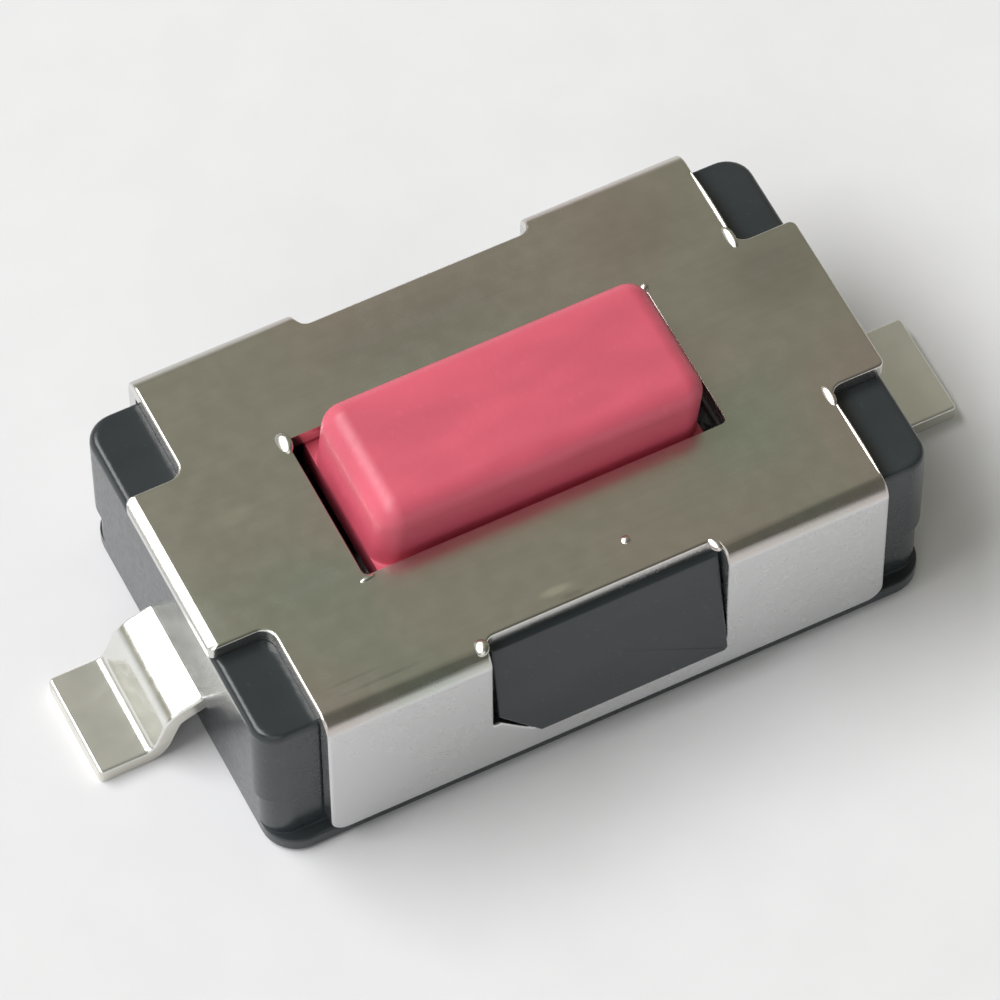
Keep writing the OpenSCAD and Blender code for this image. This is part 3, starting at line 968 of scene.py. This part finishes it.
class SWITCH_OT_cover(bpy.types.Operator):
    """Make the folded metal cover."""
    bl_idname = "switch_maker.cover"
    bl_label = "Cover"

    def execute(self, context):
        settings = context.scene.switch_cover
        shell = cover_shell(settings)
        top = COVER_HIGH.z
        for x, y, z, long, wide, high, turn in BEADS:
            bead(shell, (x * MM, y * MM, top + z * MM), (long * MM, wide * MM, high * MM), turn)
        show(shell, "folded_cover", "base", "cover_metal", cover_metal(settings), "cover")
        return {"FINISHED"}


class SWITCH_OT_housing(bpy.types.Operator):
    """Make the moulded housing with its snap bosses."""
    bl_idname = "switch_maker.housing"
    bl_label = "Housing"

    def execute(self, context):
        settings = context.scene.switch_housing
        resin = moulded_resin("black_resin", settings)
        show(housing_shell(settings), "moulded_housing", "base", "black_plastic", resin,
             "housing")
        return {"FINISHED"}


class SWITCH_OT_button(bpy.types.Operator):
    """Make the red push button."""
    bl_idname = "switch_maker.button"
    bl_label = "Button"

    def execute(self, context):
        settings = context.scene.switch_button
        resin = moulded_resin("red_resin", settings)
        show(button_shell(settings), "moulded_button", "push_button", "red_plastic", resin,
             "button")
        return {"FINISHED"}


class SWITCH_OT_contacts(bpy.types.Operator):
    """Make both terminals and the snap dome."""
    bl_idname = "switch_maker.contacts"
    bl_label = "Contacts"

    def execute(self, context):
        settings = context.scene.switch_contacts
        tin = plated_strip("tin_plating", settings.plating, settings.core, settings.rough)
        show(side_terminal_shell(settings), "side_contact", "base", "plated_metal", tin,
             "side_terminal")
        show(centre_terminal_shell(settings), "centre_contact", "base", "plated_metal", tin,
             "centre_terminal")
        steel = plated_strip("spring_sheet", settings.spring, settings.spring,
                             settings.spring_rough)
        dome = show(dome_shell(settings), "spring_dome", "base", "spring_steel", steel,
                    "snap_dome")
        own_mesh(dome)
        return {"FINISHED"}


class SWITCH_OT_studio(bpy.types.Operator):
    """Make the floor, the soft lights, the room and the camera."""
    bl_idname = "switch_maker.studio"
    bl_label = "Studio"

    def execute(self, context):
        s = context.scene.switch_studio
        scene = context.scene
        scene.view_settings.view_transform = "Standard"
        make_floor(scene, s)
        make_room(scene, s)
        make_camera(scene, s)
        soft_light(scene, "window_light", *WINDOW_LIGHT, s.window)
        soft_light(scene, "fill_light", *FILL_LIGHT, s.fill)
        return {"FINISHED"}


def make_floor(scene, s):
    """A flat floor of 1.2 by 1.2 metres at z = 0."""
    half, count = 0.6, 9
    mesh = bpy.data.meshes.new("floor")
    line = np.linspace(-half, half, count)
    x, y = np.meshgrid(line, line)
    points = np.stack([x, y, 0 * x], -1).reshape(-1, 3)
    index = np.arange(count ** 2).reshape(count, count)
    faces = np.stack([index[:-1, :-1], index[:-1, 1:], index[1:, 1:], index[1:, :-1]], -1)
    mesh.from_pydata(points.tolist(), [], faces.reshape(-1, 4).tolist())
    floor = bpy.data.objects.new("floor", mesh)
    scene.collection.objects.link(floor)
    made, net = material("pale_floor")
    grain = net.noise(net.place_mm(), 1.5)
    shade = net.ramp(grain, 0.3, 0.7, bottom=0.99, top=1.01)
    net.surface(Base_Color=net.scaled(tuple(s.floor), shade), Roughness=0.9)
    mesh.materials.append(made)


def make_room(scene, s):
    """A room that is pale round the horizon and dim overhead and behind the camera."""
    world = bpy.data.worlds.new("room")
    scene.world = world
    net = Net(world)
    way = net.add("ShaderNodeTexCoord", output="Generated")
    x, y, z = net.parts(way)
    upper = net.ramp(z, 0.08, 0.38)
    front = net.ramp(y, 0.25, -0.25)
    right = net.ramp(x + y * 0.4, 0.55, 0.85)
    ceiling = net.mix(front, tuple(s.ceiling), tuple(s.ceiling_front))
    horizon = net.mix(right, tuple(s.horizon), tuple(s.horizon_right))
    light = net.mix(upper, horizon, ceiling)
    sky = net.add("ShaderNodeBackground", {}, {"Color": light, "Strength": s.room})
    net.add("ShaderNodeOutputWorld", {}, {"Surface": sky})


def make_camera(scene, s):
    """The camera: back = (sin a cos e, -cos a cos e, sin e), with right and up turned by
    the roll, at right * shift_right + up * shift_up + back * distance."""
    a, e, r = s.azimuth, s.elevation, s.roll
    back = np.array([math.sin(a) * math.cos(e), -math.cos(a) * math.cos(e), math.sin(e)])
    right = np.cross((0, 0, 1), back)
    right /= np.linalg.norm(right)
    up = np.cross(back, right)
    right, up = (right * math.cos(r) + up * math.sin(r),
                 up * math.cos(r) - right * math.sin(r))
    place = right * s.shift_right + up * s.shift_up + back * s.distance
    data = bpy.data.cameras.new("camera")
    data.sensor_width = 36
    data.lens = s.lens
    data.clip_start, data.clip_end = 1 * MM, 2.0
    camera = bpy.data.objects.new("camera", data)
    matrix = np.eye(4)
    matrix[:3, :3] = np.stack([right, up, back], 1)
    matrix[:3, 3] = place
    camera.matrix_world = Matrix(matrix.tolist())
    scene.collection.objects.link(camera)
    scene.camera = camera


def soft_light(scene, name, direction, distance, size, power):
    """A rectangular area light that faces the object from a direction."""
    data = bpy.data.lights.new(name, "AREA")
    data.shape = "RECTANGLE"
    data.size, data.size_y = size
    data.energy = power
    light = bpy.data.objects.new(name, data)
    way = Vector(direction).normalized()
    light.location = way * distance
    light.rotation_mode = "QUATERNION"
    light.rotation_quaternion = way.to_track_quat("Z", "Y")
    scene.collection.objects.link(light)


class SWITCH_PT_panel(bpy.types.Panel):
    """Lists the pieces of the switch."""
    bl_idname = "SWITCH_PT_panel"
    bl_label = "Tactile Switch"
    bl_space_type = "VIEW_3D"
    bl_region_type = "UI"
    bl_category = "Switch"

    def draw(self, context):
        for group, operator in STEPS:
            box = self.layout.box()
            settings = getattr(context.scene, group)
            for name in settings.__annotations__:
                box.prop(settings, name, text=name.replace("_", " ").capitalize())
            box.operator(operator)


GROUPS = {
    "switch_studio": StudioSettings,
    "switch_cover": CoverSettings,
    "switch_housing": HousingSettings,
    "switch_button": ButtonSettings,
    "switch_contacts": ContactSettings,
}
OPERATORS = [SWITCH_OT_studio, SWITCH_OT_cover, SWITCH_OT_housing, SWITCH_OT_button,
             SWITCH_OT_contacts]
STEPS = [(group, operator.bl_idname) for group, operator in zip(GROUPS, OPERATORS)]
CLASSES = [*GROUPS.values(), *OPERATORS, SWITCH_PT_panel]


def register():
    for item in CLASSES:
        bpy.utils.register_class(item)
    for name, group in GROUPS.items():
        setattr(bpy.types.Scene, name, bpy.props.PointerProperty(type=group))


def unregister():
    for name in GROUPS:
        delattr(bpy.types.Scene, name)
    for item in reversed(CLASSES):
        bpy.utils.unregister_class(item)


def main():
    """Makes the studio and every piece."""
    register()
    bpy.ops.switch_maker.studio()
    bpy.ops.switch_maker.cover()
    bpy.ops.switch_maker.housing()
    bpy.ops.switch_maker.button()
    bpy.ops.switch_maker.contacts()


if __name__ == "__main__":
    main()
